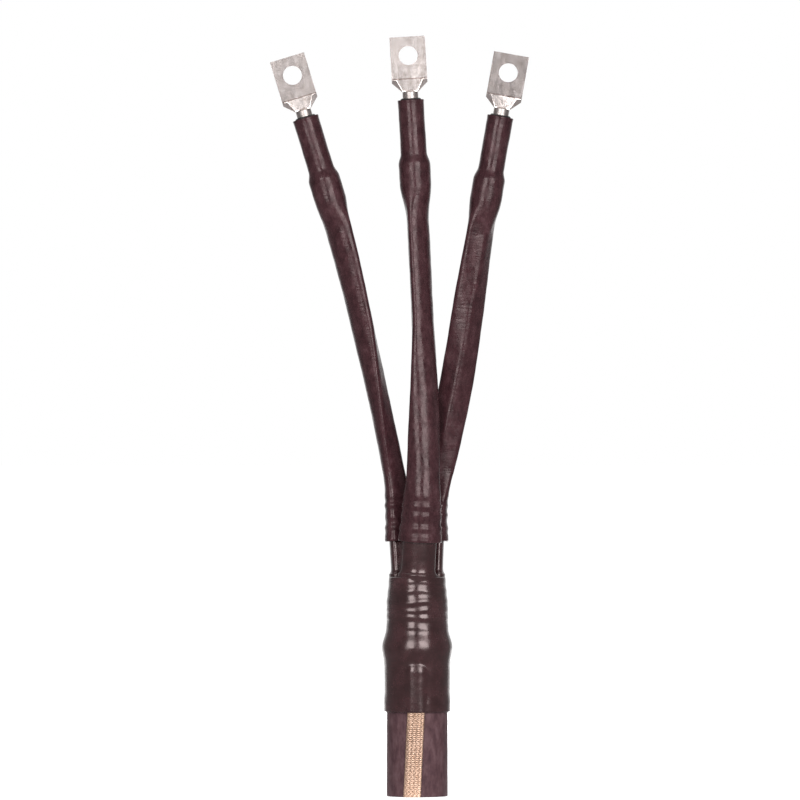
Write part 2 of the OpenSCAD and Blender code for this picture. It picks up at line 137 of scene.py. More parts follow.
def loft(rings, first=0, start_cap=False, end_cap=False, closed=False):
    """Points and faces of a skin over rings of equal count."""
    rows, cols = rings.shape[:2]
    faces = []
    for k in range(rows if closed else rows - 1):
        for i in range(cols):
            a, b = first + k * cols, first + ((k + 1) % rows) * cols
            j = (i + 1) % cols
            faces.append((a + i, a + j, b + j, b + i))
    if start_cap:
        faces.append(tuple(first + i for i in reversed(range(cols))))
    if end_cap:
        faces.append(tuple(first + (rows - 1) * cols + i for i in range(cols)))
    return rings.reshape(-1, 3), faces


def lathe(profile, sides=128):
    """Rings about the upright axis from (radius, height) pairs; radius may be a row."""
    t = np.linspace(0, 2 * math.pi, sides, endpoint=False)
    return np.stack([np.stack([r * np.cos(t), r * np.sin(t), z + 0 * t], axis=-1)
                     for r, z in profile])


def new_material(name, colour, metallic=0.0, rough=0.5, specular=0.5):
    mat = bpy.data.materials.new(name)
    mat.use_nodes = True
    shader = mat.node_tree.nodes["Principled BSDF"]
    shader.inputs["Base Color"].default_value = (*colour, 1)
    shader.inputs["Metallic"].default_value = metallic
    shader.inputs["Roughness"].default_value = rough
    shader.inputs["Specular IOR Level"].default_value = specular
    return mat, mat.node_tree, shader


def grain(tree, scale, stretch=(1, 1, 1), detail=4.0, rough=0.55):
    """Noise in the object's own space; scale counts features in a metre."""
    nodes, links = tree.nodes, tree.links
    coord = nodes.new("ShaderNodeTexCoord")
    place = nodes.new("ShaderNodeMapping")
    place.inputs["Scale"].default_value = stretch
    noise = nodes.new("ShaderNodeTexNoise")
    noise.inputs["Scale"].default_value = scale
    noise.inputs["Detail"].default_value = detail
    noise.inputs["Roughness"].default_value = rough
    links.new(coord.outputs["Object"], place.inputs["Vector"])
    links.new(place.outputs["Vector"], noise.inputs["Vector"])
    return noise.outputs["Fac"]


def shade(tree, fac, stops):
    """Colours laid over a noise: stops are (position, colour) pairs."""
    ramp = tree.nodes.new("ShaderNodeValToRGB")
    points = ramp.color_ramp.elements
    while len(points) < len(stops):
        points.new(0.5)
    for point, (at, colour) in zip(points, stops):
        point.position = at
        point.color = (*colour, 1)
    tree.links.new(fac, ramp.inputs["Fac"])
    return ramp.outputs["Color"]


def spread(tree, fac, low, high, start=0.3, stop=0.7):
    span = tree.nodes.new("ShaderNodeMapRange")
    span.inputs["From Min"].default_value = start
    span.inputs["From Max"].default_value = stop
    span.inputs["To Min"].default_value = low
    span.inputs["To Max"].default_value = high
    tree.links.new(fac, span.inputs["Value"])
    return span.outputs["Result"]


def emboss(tree, shader, heights):
    """Bumps set one on another: heights are (noise, depth in metres, strength)."""
    normal = None
    for fac, depth, strength in heights:
        bump = tree.nodes.new("ShaderNodeBump")
        bump.inputs["Distance"].default_value = depth
        bump.inputs["Strength"].default_value = strength
        tree.links.new(fac, bump.inputs["Height"])
        if normal is not None:
            tree.links.new(normal, bump.inputs["Normal"])
        normal = bump.outputs["Normal"]
    tree.links.new(normal, shader.inputs["Normal"])


copper, tree, shader = new_material("stranded copper", (0.62, 0.22, 0.10), 1.0, 0.34)
tarnish = grain(tree, 260, detail=6)
tree.links.new(shade(tree, tarnish, [(0.28, (0.24, 0.085, 0.045)), (0.45, (0.55, 0.20, 0.10)),
                                     (0.62, (0.70, 0.30, 0.16)), (0.8, (0.82, 0.42, 0.25))]),
               shader.inputs["Base Color"])
tree.links.new(spread(tree, grain(tree, 900), 0.24, 0.5), shader.inputs["Roughness"])
emboss(tree, shader, [(grain(tree, 4000, (1, 1, 0.1)), 0.0001, 0.3)])

STRAND_D, STRAND_LEN, STRAND_SIDES, STRANDS_OUT = 1.62, 13.0, 14, 9
STRAND_R, STRAND_EDGE = 0.49 * STRAND_D, 0.12
STRAND_ROW = STRAND_D * math.sqrt(3) / 2
CORE_IN, CRIMP_BLEND, SAWN_IN = -INSULATION_WALL - 0.1, 6.0, 0.25
for leg, tail in TAILS.items():
    a = np.arange(0, 360, 10.0)
    top = tail["mouth"]
    q = np.concatenate([[12, 90, BELT_END], np.arange(160, 200, 8), np.arange(200, top - 70, 12),
                        np.arange(top - 66, top - 56, 2), [top - 30, top - 9]])
    blend = ease((STRIP_DEPTH - top + q) / CRIMP_BLEND)
    reach = np.stack([mix(core_reach(CORE_IN, a), CRIMP_R, w) for w in blend])
    reach[0] -= SAWN_IN
    verts, faces = loft(tail_rings(tail, q, reach, a), start_cap=True, end_cap=True)
    verts, count = [verts], len(verts)
    fork = math.radians(tail["fork"])
    for j in range(-STRANDS_OUT, STRANDS_OUT + 1):
        for i in range(-STRANDS_OUT, STRANDS_OUT + 1):
            x = (i + 0.5 * (j % 2)) * STRAND_D
            y = j * STRAND_ROW
            turn = math.degrees(math.atan2(y, x))
            room = float(core_reach(CORE_IN, np.array([turn]))[0])
            if math.hypot(x, y) + STRAND_D * 0.44 > room:
                continue
            cx = CORE_OFF * math.cos(fork) + x * math.cos(fork) - y * math.sin(fork)
            cy = CORE_OFF * math.sin(fork) + x * math.sin(fork) + y * math.cos(fork)
            strand = lathe([(STRAND_R - STRAND_EDGE, 0.02), (STRAND_R, 0.16),
                            (STRAND_R, STRAND_LEN)], STRAND_SIDES)
            pts, strips = loft(strand + np.array([cx, cy, 0.0]), count, start_cap=True)
            verts.append(pts)
            faces += strips
            count += len(pts)
    piece = mesh_piece(leg + "_strands", np.vstack(verts), faces)
    piece.data.materials.append(copper)
    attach(piece, "root")
    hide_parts(leg + "_conductor")

# ---------------------------------------------------------------------------
# Core insulation, one waxy pale sleeve of polymer on each conductor.
# Extruded to the sector's shape and sawn with the conductor at the cut end.
# ---------------------------------------------------------------------------
insulation, tree, shader = new_material("core insulation", (0.68, 0.62, 0.48), 0.0, 0.46)
tree.links.new(shade(tree, grain(tree, 120, (1, 1, 0.2)),
                     [(0.3, (0.58, 0.51, 0.38)), (0.52, (0.68, 0.62, 0.48)),
                      (0.75, (0.76, 0.71, 0.58))]), shader.inputs["Base Color"])
tree.links.new(spread(tree, grain(tree, 700), 0.38, 0.6), shader.inputs["Roughness"])
emboss(tree, shader, [(grain(tree, 1800), 0.0001, 0.25)])


def dress(node, material):
    """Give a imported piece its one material."""
    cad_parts[node].data.materials.clear()
    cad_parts[node].data.materials.append(material)


for leg in TAILS:
    dress(leg + "_insulation", insulation)

# ---------------------------------------------------------------------------
# Belt of woven tape wound over the three cores, and the bedding over it.
# The tape is lapped in layers, the bedding is a black sleeve extruded on top.
# ---------------------------------------------------------------------------
belt, tree, shader = new_material("belt tape", (0.45, 0.35, 0.19), 0.0, 0.85)
tree.links.new(shade(tree, grain(tree, 420, (1, 1, 0.25), 6),
                     [(0.3, (0.32, 0.23, 0.12)), (0.5, (0.45, 0.35, 0.19)),
                      (0.72, (0.56, 0.46, 0.28))]), shader.inputs["Base Color"])
tree.links.new(spread(tree, grain(tree, 1500), 0.75, 0.95), shader.inputs["Roughness"])
emboss(tree, shader, [(grain(tree, 3000), 0.0002, 0.5)])
dress("core_belt", belt)

bedding, tree, shader = new_material("bedding", (0.018, 0.018, 0.02), 0.0, 0.6)
tree.links.new(shade(tree, grain(tree, 300), [(0.3, (0.012, 0.012, 0.014)),
                                              (0.7, (0.03, 0.029, 0.031))]),
               shader.inputs["Base Color"])
tree.links.new(spread(tree, grain(tree, 900), 0.5, 0.75), shader.inputs["Roughness"])
emboss(tree, shader, [(grain(tree, 2200, (1, 1, 0.3)), 0.0001, 0.3)])
dress("inner_sheath", bedding)

# ---------------------------------------------------------------------------
# Armour of round galvanised steel wires laid side by side on the bedding.
# Drawn wire with a dull spangled zinc coat, bright where the saw went through.
# ---------------------------------------------------------------------------
zinc, tree, shader = new_material("galvanised wire", (0.42, 0.43, 0.45), 1.0, 0.42)
tree.links.new(shade(tree, grain(tree, 500, (1, 1, 0.3), 6),
                     [(0.3, (0.26, 0.265, 0.275)), (0.5, (0.42, 0.43, 0.45)),
                      (0.7, (0.56, 0.57, 0.59))]), shader.inputs["Base Color"])
tree.links.new(spread(tree, grain(tree, 1200), 0.3, 0.58), shader.inputs["Roughness"])
emboss(tree, shader, [(grain(tree, 5000, (1, 1, 0.15)), 0.0001, 0.25)])
dress("armour_wires", zinc)

# ---------------------------------------------------------------------------
# Outer sheath of the cable, a thick sleeve of dull maroon-brown plastic.
# Extruded over the armour, so it has faint draw lines; the end is sawn flat.
# ---------------------------------------------------------------------------
SHEATH_IN, SHEATH_R, SHEATH_END, SHEATH_SIDES = 24.05, 27.5, 112.0, 192
SHEATH_INSET, SHEATH_RINGS = 0.09, 56
t = np.linspace(0, 2 * math.pi, SHEATH_SIDES, endpoint=False)
draw = 0.025 * np.sin(7 * t + 0.4) + 0.02 * np.sin(13 * t + 2.0) + 0.012 * np.sin(31 * t)
profile = [(SHEATH_IN + 0 * t, 0.3), (SHEATH_IN + 0.3 + 0 * t, 0.0),
           (SHEATH_R - 0.62 + draw, 0.0), (SHEATH_R - 0.32 + draw, 0.08),
           (SHEATH_R - 0.12 + draw, 0.34)]
for z in np.linspace(1.0, SHEATH_END - 1.0, SHEATH_RINGS):
    sway = 0.03 * np.sin(z * 0.21 + 2 * t) + 0.025 * np.sin(z * 0.47 + 3 * t + 1.0)
    profile.append((SHEATH_R - SHEATH_INSET + 0.8 * draw + sway, z))
profile += [(SHEATH_R - 0.5 + 0 * t, SHEATH_END), (SHEATH_IN + 0 * t, SHEATH_END)]
verts, faces = loft(lathe(profile, SHEATH_SIDES), closed=True)
sheath = mesh_piece("sheath_sleeve", verts, faces)
plastic, tree, shader = new_material("sheath plastic", (0.108, 0.055, 0.062), 0.0, 0.58, 0.2)
tree.links.new(shade(tree, grain(tree, 170, (1, 1, 0.45), 7, 0.66),
                     [(0.35, (0.070, 0.033, 0.040)), (0.5, (0.107, 0.054, 0.0615)),
                      (0.66, (0.148, 0.082, 0.091))]), shader.inputs["Base Color"])
tree.links.new(spread(tree, grain(tree, 500, (1, 1, 0.15)), 0.5, 0.68), shader.inputs["Roughness"])
emboss(tree, shader, [(grain(tree, 900, (1, 1, 0.06)), 0.0001, 0.35),
                      (grain(tree, 5200), 0.00004, 0.3)])
sheath.data.materials.append(plastic)
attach(sheath, "root")
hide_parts("outer_sheath")

# ---------------------------------------------------------------------------
# Earth braid, a flat tube plaited from bundles of fine copper wire.
# It lies up the front of the sheath, goes in under the boot and steps down to
# the armour, where its last turn is held.
# ---------------------------------------------------------------------------
BRAID_W, BRAID_MID, BRAID_TOP, STUB_LEN = 16.4, 28.52, 126.0, 76.0
BRAID_TURN, BRAID_SLANT = 2.3, 7.6
DIP_Z, DIP_LEN, ARMOUR_MID = 112.5, 12.0, 25.05
BUNDLES, LAY, BUNDLE_HALF = 9, 2.05, 0.41
WRAP_IN, WRAP_OUT, WRAP_FOOT, WRAP_TOP = 24.06, 26.03, 125.2, 140.9


def braid_lie(z):
    """Bearing and radius of the braid's middle at the heights z."""
    turn = np.radians(-90 - BRAID_TURN - BRAID_SLANT * np.maximum(0, 1 - z / STUB_LEN))
    return turn, mix(BRAID_MID, ARMOUR_MID, ease((z - DIP_Z) / DIP_LEN))


def sheet(rows, cols, first):
    """Faces of an open net of points."""
    return [(o, o + 1, o + cols + 1, o + cols)
            for i in range(rows - 1) for o in range(first + i * cols, first + (i + 1) * cols - 1)]


across = np.linspace(-1, 1, 9)
wire_ridge = 0.15 * np.abs(np.cos(across * math.pi * 1.5)) - 0.12 * across ** 4
verts, faces, count = [], [], 0
for way in (-1, 1):
    for k in range(BUNDLES):
        z = np.arange(-0.45, BRAID_TOP + 0.2, 0.42)[:, None]
        start = (k + 0.25 * (way > 0)) / BUNDLES
        phi = 2 * math.pi * (start + way * z / (BRAID_W * LAY) + across * BUNDLE_HALF / BUNDLES)
        u = BRAID_W / 2 * (2 / math.pi) * np.arcsin(np.clip(np.cos(phi), -1, 1)) * 0.985
        layer = np.tanh(3.2 * np.sin(phi))
        over = 0.3 * way * np.cos(2 * math.pi * z * BUNDLES / (BRAID_W * LAY))
        high = np.clip(z + 0 * across, 0.0, BRAID_TOP)
        turn, rad = braid_lie(high)
        ang = turn + u / BRAID_MID
        rad = rad + layer * (0.48 + wire_ridge + over)
        pts = np.stack([rad * np.cos(ang), rad * np.sin(ang), high], axis=-1)
        faces += sheet(*pts.shape[:2], count)
        verts.append(pts.reshape(-1, 3))
        count += len(verts[-1])
# A dark sheet between the two layers of bundles: painted shade for the shadow that shows through
# the gaps of the weave.
z = np.arange(0.3, BRAID_TOP, 2.0)[:, None]
u = np.linspace(-0.47, 0.47, 13) * BRAID_W
turn, rad = braid_lie(z)
ang = turn + u / BRAID_MID
core = np.stack([rad * np.cos(ang), rad * np.sin(ang), z + 0 * ang], axis=-1)
painted_shade_faces = range(len(faces), len(faces) + (core.shape[0] - 1) * (core.shape[1] - 1))
faces += sheet(*core.shape[:2], count)
verts.append(core.reshape(-1, 3))
count += len(verts[-1])
wrap = [(WRAP_IN, WRAP_FOOT), (WRAP_IN, WRAP_TOP), (WRAP_OUT - 0.08, WRAP_TOP)]
wrap += [(WRAP_OUT - 0.13 * (k % 2), 138 - 2.5 * k) for k in range(5)]
wrap.append((WRAP_OUT - 0.08, WRAP_FOOT))
pts, strips = loft(lathe(wrap, 160), count, closed=True)
braid = mesh_piece("woven_braid", np.vstack(verts + [pts]), faces + strips)
woven, tree, shader = new_material("braid wire", (0.61, 0.41, 0.305), 0.85, 0.42)
tree.links.new(shade(tree, grain(tree, 700, (1, 1, 0.6), 6),
                     [(0.26, (0.34, 0.19, 0.12)), (0.42, (0.56, 0.365, 0.265)),
                      (0.6, (0.655, 0.45, 0.34)), (0.78, (0.78, 0.60, 0.50))]),
               shader.inputs["Base Color"])
tree.links.new(spread(tree, grain(tree, 1600), 0.3, 0.52), shader.inputs["Roughness"])
emboss(tree, shader, [(grain(tree, 6000), 0.0001, 0.4)])
braid.data.materials.append(woven)
# The sheet's dark copper is painted shade, standing for the shadowed wires deep in the weave.
braid_painted_shade, tree, shader = new_material("braid painted shade", (0.10, 0.05, 0.03), 0.3, 0.8)
tree.links.new(shade(tree, grain(tree, 900), [(0.3, (0.06, 0.03, 0.018)),
                                              (0.7, (0.15, 0.08, 0.05))]),
               shader.inputs["Base Color"])
emboss(tree, shader, [(grain(tree, 4000), 0.0001, 0.4)])
braid.data.materials.append(braid_painted_shade)
for i in painted_shade_faces:
    braid.data.polygons[i].material_index = 1
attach(braid, "root")
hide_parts("earth_braid")

# ---------------------------------------------------------------------------
# Roll spring of thin bright steel strip, wound over the braid on the armour.
# Coiled tight by its own temper; a few dull rub marks run round it.
# ---------------------------------------------------------------------------
strip, tree, shader = new_material("spring strip", (0.55, 0.55, 0.57), 1.0, 0.26)
tree.links.new(shade(tree, grain(tree, 350, (0.3, 0.3, 2.0), 6),
                     [(0.3, (0.40, 0.40, 0.42)), (0.55, (0.56, 0.56, 0.58)),
                      (0.75, (0.66, 0.66, 0.68))]), shader.inputs["Base Color"])
tree.links.new(spread(tree, grain(tree, 900, (0.2, 0.2, 3.0)), 0.18, 0.4),
               shader.inputs["Roughness"])
emboss(tree, shader, [(grain(tree, 2600, (0.1, 0.1, 2.0)), 0.00005, 0.3)])
dress("roll_spring", strip)

# ---------------------------------------------------------------------------
# Mastic pressed round the cores: the filler, the plug in the crotch, and the
# ring at the foot of each lug's barrel. Soft black sealant, laid by hand.
# ---------------------------------------------------------------------------
mastic, tree, shader = new_material("mastic", (0.012, 0.011, 0.011), 0.0, 0.42)
tree.links.new(shade(tree, grain(tree, 260, detail=6), [(0.3, (0.008, 0.007, 0.007)),
                                                       (0.7, (0.022, 0.019, 0.018))]),
               shader.inputs["Base Color"])
tree.links.new(spread(tree, grain(tree, 600), 0.3, 0.6), shader.inputs["Roughness"])
emboss(tree, shader, [(grain(tree, 420), 0.0006, 0.4), (grain(tree, 2400), 0.0001, 0.3)])
for node in ("boot_filler", "crotch_filler", "left_mastic", "centre_mastic", "right_mastic"):
    dress(node, mastic)

# ---------------------------------------------------------------------------
# Breakout boot, one moulding of glossy heat-shrink with three fingers.
# Shrunk with a torch over sheath, braid and fork: it bulges over the spring,
# ripples above it, and stands up in a ridge over the braid.
# ---------------------------------------------------------------------------
BODY_R, WAIST_R, SHOULDER_R, SHOULDER_Z, DOME_H = 27.8, 29.5, 25.6, 196.0, 5.0
BULGE_Z, BULGE_R, BULGE_SPAN, BOOT_WALL, BOOT_SIDES = 133.0, 31.62, 10.0, 1.5, 256
RIDGE_R, RIDGE_DROP, RIDGE_END, RIDGE_FADE = 31.35, 2.3, 112.0, 26.0
FINGER_WALL, FINGER_BORE, ROOT_SWELL, ROOT_MOST = 2.4, 0.3, 2.2, 4.6
WEB_R, WEB_FOOT, WEB_TOP, WEB_SIDES = 17.6, 192.0, 236.0, 72
SHRINK_TINT = (1.0, 0.84, 0.83, 1)
RIPPLES = ((152.0, 0.62, 2.9), (160.6, 0.5, 2.3), (167.2, 0.5, 2.3), (175.6, 0.7, 3.0),
           (184.4, 0.72, 2.9), (192.4, 0.3, 2.0))
BRAID_HALF = math.asin(8.25 / 28.5)
t = np.linspace(0, 2 * math.pi, BOOT_SIDES, endpoint=False)
over_braid = np.angle(np.exp(1j * (t + math.radians(90 + BRAID_TURN)))) / BRAID_HALF


def boot_radius(z):
    """Radius of the boot's body round one ring, with its swell, ripples and ridge."""
    base = mix(mix(WAIST_R, BODY_R, ease((z - BULGE_Z - 4) / 16)), SHOULDER_R + 0.2,
               ease((z - SHOULDER_Z + 26) / 26))
    r = base + 0.7 * (1 - ease((z - STUB_LEN - 7) / 10)) - 0.06
    r = r + (BULGE_R - WAIST_R) * np.exp(-((z - BULGE_Z) / BULGE_SPAN) ** 2) + 0 * t
    for at, high, wide in RIPPLES:
        far = (z - at - 0.7 * np.sin(t + at) - 0.4 * np.sin(2 * t + 1.7 * at)
               - 0.75 * np.sin(5 * t + 2.3 * at))
        front = (0.6 + 0.4 * np.sin(-t)) * (1 + 0.3 * np.sin(3 * t + at))
        r = r + high * front * (np.exp(-(far / wide) ** 2) - 0.5 * np.exp(-(far / 6.5) ** 2))
    calm = ease((z - STUB_LEN - 4) / 10)
    r = r + calm * (0.10 * np.sin(2 * t + z * 0.06) + 0.05 * np.sin(5 * t - z * 0.11)
                    + 0.03 * np.sin(9 * t + z * 0.2))
    crown = (RIDGE_R - RIDGE_DROP * ease((np.abs(over_braid) - 0.35) / 1.25)
             - 9.0 * ease((z - RIDGE_END) / RIDGE_FADE))
    r = 0.5 * (r + crown + np.sqrt((r - crown) ** 2 + 0.12)) - 0.1
    return np.minimum(r, BULGE_R)


heights = np.concatenate([STUB_LEN + np.array([0.7, 1.2, 2.0]),
                          np.arange(STUB_LEN + 3, SHOULDER_Z, 0.8)])
skirt = boot_radius(STUB_LEN + 0.7)
profile = [(skirt - BOOT_WALL, STUB_LEN + 0.3), (skirt - BOOT_WALL + 0.3, STUB_LEN),
           (skirt - 0.45, STUB_LEN), (skirt - 0.12, STUB_LEN + 0.2)]
profile += [(boot_radius(z), z) for z in heights]
neck = boot_radius(SHOULDER_Z)
for a in np.arange(8.0, 90.0, 6.0):
    lift = DOME_H * math.sin(math.radians(a)) * (1 - 0.25 * math.sin(math.radians(2 * a)))
    profile.append((neck * math.cos(math.radians(a)) ** 0.8, SHOULDER_Z + lift))
profile.append((0.3 + 0 * t, SHOULDER_Z + DOME_H - 0.05))
profile.append((0.3 + 0 * t, SHOULDER_Z + DOME_H - BOOT_WALL))
profile.append((neck * 0.7, SHOULDER_Z + DOME_H - 2 * BOOT_WALL))
profile += [(boot_radius(z) - BOOT_WALL, z) for z in np.arange(SHOULDER_Z - 2, STUB_LEN + 1, -3.0)]
verts, faces = loft(lathe(profile, BOOT_SIDES), closed=True)
verts, count = [verts], len(verts)

a = np.arange(0, 360, 4.0)
for leg, tail in TAILS.items():
    place, f, e, n = stand(tail, [FORK_Z])
    b = np.radians(a + tail["fork"])
    out = np.cos(b)[:, None] * e + np.sin(b)[:, None] * n
    rings = []
    for far in np.concatenate([np.arange(4.0, 20.0, 0.5), np.arange(20.0, 71.0, 1.0)]):
        swell = (FINGER_WALL + 0.02 * math.sin(far * 0.75)
                 + ROOT_SWELL * math.exp(-max(0.0, far - 10.0) / 1.8))
        rings.append(place + far * f + core_reach(min(swell, ROOT_MOST), a)[:, None] * out)
    for far in (70.0, 40.0, 8.0):
        rings.append(place + far * f + core_reach(FINGER_BORE, a)[:, None] * out)
    pts, strips = loft(np.array(rings), count, closed=True)
    verts.append(pts)
    faces += strips
    count += len(pts)
web = lathe([(WEB_R + 0.4 * math.sin(z * 0.4), z) for z in np.arange(WEB_FOOT, WEB_TOP, 1.0)],
            WEB_SIDES)
pts, strips = loft(web, count, start_cap=True, end_cap=True)
verts.append(pts)
faces += strips
boot = mesh_piece("shrunk_boot", np.vstack(verts), faces)
gloss, tree, shader = new_material("boot plastic", (0.031, 0.0096, 0.0112), 0.0, 0.2, 0.8)
shader.inputs["Specular Tint"].default_value = SHRINK_TINT
tree.links.new(shade(tree, grain(tree, 70, detail=5),
                     [(0.3, (0.019, 0.0052, 0.0062)), (0.5, (0.031, 0.0096, 0.0112)),
                      (0.66, (0.046, 0.0158, 0.0187)), (0.8, (0.095, 0.044, 0.048))]),
               shader.inputs["Base Color"])
tree.links.new(spread(tree, grain(tree, 180, detail=6), 0.15, 0.28), shader.inputs["Roughness"])
emboss(tree, shader, [(grain(tree, 90, (1, 1, 1.4), 2), 0.0006, 0.2),
                      (grain(tree, 1800), 0.00002, 0.2)])
boot.data.materials.append(gloss)
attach(boot, "root")
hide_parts("breakout_boot")

# ---------------------------------------------------------------------------
# Three lugs, each forged and pressed from one tinned bar: barrel, neck, palm.
# The palm is flattened in a press, so its edges are round and a crease is left
# where the flanks begin; the barrel is crimped and hidden in the tube.
# ---------------------------------------------------------------------------
DULLNESS = {"left": 0.186, "centre": 0.2, "right": 0.12}
# The neck gets a darker, duller copy of the tin: its darker colour is painted shade that damps the
# shine there.
NECK_DULLNESS, NECK_PAINTED_SHADE, NECK_TOP = 0.4, 0.55, 7.6
SAME_POINT, SAME_FLAT = 2e-6, math.radians(0.6)
WORN_WIDTH, WORN_FROM = 0.00016, math.radians(18)
TIN = [(0.32, (0.57, 0.495, 0.46)), (0.45, (0.70, 0.63, 0.60)),
       (0.56, (0.76, 0.69, 0.665)), (0.7, (0.86, 0.80, 0.775))]
for leg in TAILS:
    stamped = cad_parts[leg + "_lug"].data.copy()
    shape = bmesh.new()
    shape.from_mesh(stamped)
    bmesh.ops.remove_doubles(shape, verts=shape.verts, dist=SAME_POINT)
    bmesh.ops.dissolve_limit(shape, angle_limit=SAME_FLAT, verts=shape.verts, edges=shape.edges)
    shape.to_mesh(stamped)
    shape.free()
    stamped.shade_smooth()
    lug = bpy.data.objects.new(leg + "_stamped_lug", stamped)
    bpy.context.scene.collection.objects.link(lug)
    worn = lug.modifiers.new("worn edges", "BEVEL")
    worn.width = WORN_WIDTH
    worn.segments = 3
    worn.limit_method = "ANGLE"
    worn.angle_limit = WORN_FROM
    even = lug.modifiers.new("even", "WEIGHTED_NORMAL")
    even.weight = 100
    lug.data.materials.clear()
    # The neck's copy of the tin is darkened by a factor: painted shade on the same metal.
    for part, dull, painted_shade_scale in (("palm", DULLNESS[leg], 1.0), ("neck", NECK_DULLNESS, NECK_PAINTED_SHADE)):
        satin, tree, shader = new_material(leg + " tinned " + part, (0.73, 0.66, 0.635), 1.0, dull)
        tints = [(at, [painted_shade_scale * c for c in colour]) for at, colour in TIN]
        tree.links.new(shade(tree, grain(tree, 240, (1, 1, 0.8), 7, 0.7), tints),
                       shader.inputs["Base Color"])
        tree.links.new(spread(tree, grain(tree, 220, (1, 1, 0.25), 6), dull - 0.03, dull + 0.03),
                       shader.inputs["Roughness"])
        emboss(tree, shader, [(grain(tree, 1100, (1, 1, 0.08)), 0.00006, 0.3),
                              (grain(tree, 160), 0.0004, 0.12)])
        lug.data.materials.append(satin)
    mouth, along = stand(TAILS[leg], [TAILS[leg]["mouth"]])[:2]
    for face in lug.data.polygons:
        high = (np.array(face.center) * 1000.0 - mouth[0]) @ along[0]
        face.material_index = int(high < NECK_TOP)
    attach(lug, "root")
    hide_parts(leg + "_lug")

# ---------------------------------------------------------------------------
# Three core tubes of glossy heat-shrink, from the boot's fingers to the lugs.
# Each is cut square at both ends and shrunk from the bottom up: rings are left
# over the finger, a swell over the mastic and barrel, faint waves between.
# ---------------------------------------------------------------------------
TUBE_Q, TIP_Q, ROUND_DEPTH, BARREL_FOOT = 229.5, 260.0, 103.0, 58.0
TUBE_WALL, FINGER_SWELL, FOOT_FLARE = 2.3, 2.3, 1.6
ROUND_WALL, BARREL_R, MASTIC_R = 2.2, 9.5, 12.0
RING_HIGH, RING_PITCH = 0.36, 10.0
sleeve, tree, shader = new_material("tube plastic", (0.054, 0.0220, 0.0258), 0.0, 0.26, 0.28)
shader.inputs["Specular Tint"].default_value = SHRINK_TINT
tree.links.new(shade(tree, grain(tree, 130, (1, 1, 0.55), 7, 0.68),
                     [(0.34, (0.029, 0.0105, 0.0130)), (0.46, (0.045, 0.0172, 0.0208)),
                      (0.56, (0.058, 0.0232, 0.0275)), (0.68, (0.088, 0.041, 0.0475))]),
               shader.inputs["Base Color"])
tree.links.new(spread(tree, grain(tree, 240, (1, 1, 0.7), 6), 0.12, 0.4, 0.38, 0.64),
               shader.inputs["Roughness"])
emboss(tree, shader, [(grain(tree, 110, (1, 1, 0.6)), 0.0006, 0.32),
                      (grain(tree, 300, (0.4, 0.4, 1.5), 3), 0.0004, 0.45),
                      (grain(tree, 1500), 0.00005, 0.22)])
a = np.arange(0, 360, 4.5)
for number, (leg, tail) in enumerate(TAILS.items()):
    top = tail["mouth"]
    q = np.concatenate([TUBE_Q + np.array([0.0, 0.18, 0.5, 1.0]),
                        np.arange(TUBE_Q + 1.8, TUBE_Q + 46, 0.9),
                        np.arange(TUBE_Q + 47.5, top - 112, 3.0),
                        np.arange(top - 110, top - 3, 1.4),
                        top - np.array([2.6, 1.8, 1.1, 0.5, 0.15, 0.0])])
    d = top - q
    turns = np.radians((q - TUBE_Q) * (360 / RING_PITCH))
    rough_rings = RING_HIGH * np.sin(turns + 0.5 * np.sin(q * 0.31 + number))
    grow = (TUBE_WALL + FINGER_SWELL * (1 - ease((q - TIP_Q + 5) / 40))
            + FOOT_FLARE * (1 - ease((q - TUBE_Q) / 25))
            + rough_rings * ease((q - TUBE_Q) / 10) * (1 - ease((q - TUBE_Q - 34) / 14)))
    round_r = (ROUND_WALL + mix(BARREL_R, MASTIC_R, ease((d - BARREL_FOOT + 10) / 10))
               + 0.3 * np.exp(-(d / 2) ** 2))
    w = ease((ROUND_DEPTH + 6 - d) / 34)
    sway = (0.10 * np.sin(q[:, None] * 0.085 + 2.1 * number + np.radians(2 * a))
            + 0.06 * np.sin(q[:, None] * 0.21 + np.radians(3 * a) + number)
            + 0.035 * np.sin(q[:, None] * 0.47 - np.radians(a)))
    calm = ease((q - TUBE_Q - 3) / 12) * ease((d - 2) / 10)
    reach = np.stack([mix(core_reach(g, a), r, k) for g, r, k in zip(grow, round_r, w)])
    reach = reach + sway * calm[:, None]
    edge = 0.28 * (np.exp(-((q - TUBE_Q) / 0.35) ** 2) + np.exp(-(d / 0.4) ** 2))
    lip = 0.3 * np.exp(-((q - TUBE_Q - 1.5) / 0.8) ** 2)
    reach = reach + (lip - edge)[:, None]
    back_q = np.concatenate([top - np.array([0, 4, 20, 48, 56, 62, 80, ROUND_DEPTH]),
                             np.arange(top - 115, TIP_Q + 12, -20.0),
                             TIP_Q - np.array([0, 12, 30.5])])
    bores = []
    for far in back_q:
        bore = 0.25 + FINGER_SWELL * (1 - ease((far - TIP_Q) / 12))
        inner = 0.15 + mix(BARREL_R, MASTIC_R, ease((top - far - BARREL_FOOT + 5) / 8))
        bores.append(mix(core_reach(bore, a), inner, ease((ROUND_DEPTH - top + far) / 38)))
    rings = np.concatenate([tail_rings(tail, q, reach, a),
                            tail_rings(tail, back_q, np.array(bores), a)])
    verts, faces = loft(rings, closed=True)
    tube = mesh_piece(leg + "_shrunk_tube", verts, faces)
    tube.data.materials.append(sleeve)
    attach(tube, "root")
    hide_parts(leg + "_core_tube")

